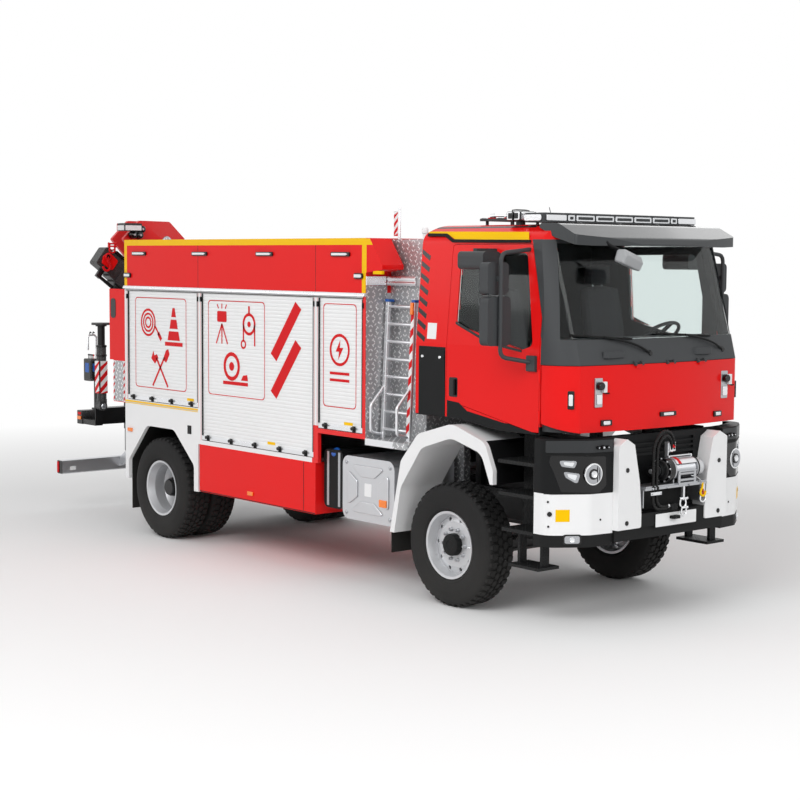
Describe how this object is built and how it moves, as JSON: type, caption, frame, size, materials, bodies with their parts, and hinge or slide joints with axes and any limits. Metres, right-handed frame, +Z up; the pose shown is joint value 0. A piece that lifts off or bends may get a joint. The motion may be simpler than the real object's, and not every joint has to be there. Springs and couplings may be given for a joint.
{
  "type": "rescue truck",
  "caption": "Two-axle rescue truck with a tall red and white equipment body, roller shutters, front winch, rear folding crane and outriggers.",
  "frame": {"origin": "on the ground, on the centreline, halfway along the overall length", "axes": "+X forward, +Y to the truck's left, +Z up"},
  "size_m": [8.548, 3.06, 3.5],
  "materials": {
    "red_paint": "gloss",
    "white_paint": "gloss",
    "black_paint": "satin",
    "aluminium": "satin",
    "black_plastic": "matt",
    "dark_tint": "gloss",
    "glass": "gloss",
    "tyre": "matt",
    "steel": "satin",
    "cast": "matt",
    "fabric": "matt",
    "chrome": "polished"
  },
  "bodies": {
    "chassis": {"bay_frames": "white_paint", "body_structure": "aluminium", "bumper_black": "black_plastic", "bumper_white": "white_paint", "cab_shell": "red_paint", "cab_steps": "black_plastic", "crane_base": "black_paint", "crossmembers": "black_paint", "dashboard": "black_plastic", "engine_block": "cast", "frame_rails": "black_paint", "front_axle": "cast", "fuel_tank": "aluminium", "ladders": "aluminium", "leaf_springs": "black_paint", "rear_axle": "cast", "red_panels": "red_paint", "roof_gear": "dark_tint", "seat_cushions": "fabric", "shutters": "aluminium", "side_tanks": "black_plastic", "sun_visor": "dark_tint", "treadplate_panels": "aluminium", "underrun_bar": "aluminium", "wheel_arches": "black_plastic", "wheel_guards": "white_paint", "winch": "steel", "windscreen": "glass", "windscreen_surround": "black_plastic"},
    "knuckle_right": {"knuckle_right": "cast"},
    "knuckle_left": {"knuckle_left": "cast"},
    "tie_rod": {"tie_rod": "steel"},
    "wheel_front_right": {"wheel_front_right": "steel", "tyre_front_right": "tyre"},
    "wheel_front_left": {"wheel_front_left": "steel", "tyre_front_left": "tyre"},
    "wheel_rear_right": {"wheel_rear_right": "steel", "tyres_rear_right": "tyre"},
    "wheel_rear_left": {"wheel_rear_left": "steel", "tyres_rear_left": "tyre"},
    "front_flap": {"front_flap": "red_paint"},
    "door_right": {"door_right": "red_paint", "door_glass_right": "glass", "mirrors_right": "black_plastic"},
    "door_left": {"door_left": "red_paint", "door_glass_left": "glass", "mirrors_left": "black_plastic"},
    "crane_column": {"crane_column": "black_paint"},
    "inner_boom": {"inner_boom": "black_paint"},
    "outer_boom": {"outer_boom": "black_paint"},
    "boom_extension": {"boom_extension": "black_paint"},
    "lift_barrel": {"lift_barrel": "black_paint"},
    "lift_rod": {"lift_rod": "chrome"},
    "outrigger_beam_right": {"outrigger_beam_right": "black_paint"},
    "outrigger_leg_right": {"outrigger_leg_right": "black_paint"},
    "outrigger_foot_right": {"outrigger_foot_right": "steel"},
    "outrigger_beam_left": {"outrigger_beam_left": "black_paint"},
    "outrigger_leg_left": {"outrigger_leg_left": "black_paint"},
    "outrigger_foot_left": {"outrigger_foot_left": "steel"}
  },
  "joints": [
    {"name": "steer_right", "type": "hinge", "parent": "chassis", "child": "knuckle_right", "pos_m": [2.685, -0.88, 0.545], "axis": [0, 0, 1], "range_deg": [-35, 35]},
    {"name": "steer_left", "type": "hinge", "parent": "chassis", "child": "knuckle_left", "pos_m": [2.685, 0.88, 0.545], "axis": [0, 0, 1], "range_deg": [-35, 35]},
    {"name": "tie_rod_pin", "type": "hinge", "parent": "knuckle_right", "child": "tie_rod", "pos_m": [2.505, -0.88, 0.45], "axis": [0, 0, 1], "range_deg": [-35, 35]},
    {"name": "wheel_front_right", "type": "hinge", "parent": "knuckle_right", "child": "wheel_front_right", "pos_m": [2.685, -1.025, 0.545], "axis": [0, 1, 0], "continuous": true},
    {"name": "wheel_front_left", "type": "hinge", "parent": "knuckle_left", "child": "wheel_front_left", "pos_m": [2.685, 1.025, 0.545], "axis": [0, 1, 0], "continuous": true},
    {"name": "wheel_rear_right", "type": "hinge", "parent": "chassis", "child": "wheel_rear_right", "pos_m": [-1.915, -0.9175, 0.545], "axis": [0, 1, 0], "continuous": true},
    {"name": "wheel_rear_left", "type": "hinge", "parent": "chassis", "child": "wheel_rear_left", "pos_m": [-1.915, 0.9175, 0.545], "axis": [0, 1, 0], "continuous": true},
    {"name": "front_flap", "type": "hinge", "parent": "chassis", "child": "front_flap", "pos_m": [4.137, 0, 2.1775], "axis": [0, -1, 0], "range_deg": [0, 80]},
    {"name": "door_right", "type": "hinge", "parent": "chassis", "child": "door_right", "pos_m": [3.76, -1.156, 2.2], "axis": [0, 0, 1], "range_deg": [0, 75]},
    {"name": "door_left", "type": "hinge", "parent": "chassis", "child": "door_left", "pos_m": [3.76, 1.156, 2.2], "axis": [0, 0, -1], "range_deg": [0, 75]},
    {"name": "crane_slew", "type": "hinge", "parent": "chassis", "child": "crane_column", "pos_m": [-3.805, 0, 1.4], "axis": [0, 0, 1], "range_deg": [0, 180]},
    {"name": "inner_boom_lift", "type": "hinge", "parent": "crane_column", "child": "inner_boom", "pos_m": [-3.805, -0.05, 3.22], "axis": [1, 0, 0], "range_deg": [0, 130]},
    {"name": "outer_boom_fold", "type": "hinge", "parent": "inner_boom", "child": "outer_boom", "pos_m": [-3.805, 0.72, 1.724], "axis": [1, 0, 0], "range_deg": [0, 79]},
    {"name": "boom_extension", "type": "slide", "parent": "outer_boom", "child": "boom_extension", "axis": [0, -0.7982, 0.6025], "range_m": [0, 1.2]},
    {"name": "lift_barrel_tilt", "type": "hinge", "parent": "crane_column", "child": "lift_barrel", "pos_m": [-4.01, 0.12, 1.62], "axis": [1, 0, 0], "range_deg": [-16, 5]},
    {"name": "lift_rod_stroke", "type": "slide", "parent": "lift_barrel", "child": "lift_rod", "axis": [0, -0.1408, 0.99], "range_m": [0, 0.76]},
    {"name": "outrigger_beam_right", "type": "slide", "parent": "chassis", "child": "outrigger_beam_right", "axis": [0, -1, 0], "range_m": [0, 0.7]},
    {"name": "outrigger_leg_right", "type": "hinge", "parent": "outrigger_beam_right", "child": "outrigger_leg_right", "pos_m": [-3.315, -1.145, 1.33], "axis": [1, 0, 0], "range_deg": [0, 180]},
    {"name": "outrigger_foot_right", "type": "slide", "parent": "outrigger_leg_right", "child": "outrigger_foot_right", "axis": [0, 0, 1], "range_m": [0, 0.37]},
    {"name": "outrigger_beam_left", "type": "slide", "parent": "chassis", "child": "outrigger_beam_left", "axis": [0, 1, 0], "range_m": [0, 0.7]},
    {"name": "outrigger_leg_left", "type": "hinge", "parent": "outrigger_beam_left", "child": "outrigger_leg_left", "pos_m": [-3.315, 1.145, 1.33], "axis": [-1, 0, 0], "range_deg": [0, 180]},
    {"name": "outrigger_foot_left", "type": "slide", "parent": "outrigger_leg_left", "child": "outrigger_foot_left", "axis": [0, 0, 1], "range_m": [0, 0.37]}
  ],
  "couplings": [
    {"joint": "steer_left", "follows": "steer_right", "ratio": 1},
    {"joint": "tie_rod_pin", "follows": "steer_right", "ratio": -1},
    {"joint": "outer_boom_fold", "follows": "inner_boom_lift", "ratio": 0.6},
    {"joint": "lift_barrel_tilt", "follows": "inner_boom_lift", "ratio": -0.101},
    {"joint": "lift_rod_stroke", "follows": "inner_boom_lift", "m_per_rad": 0.3238}
  ]
}
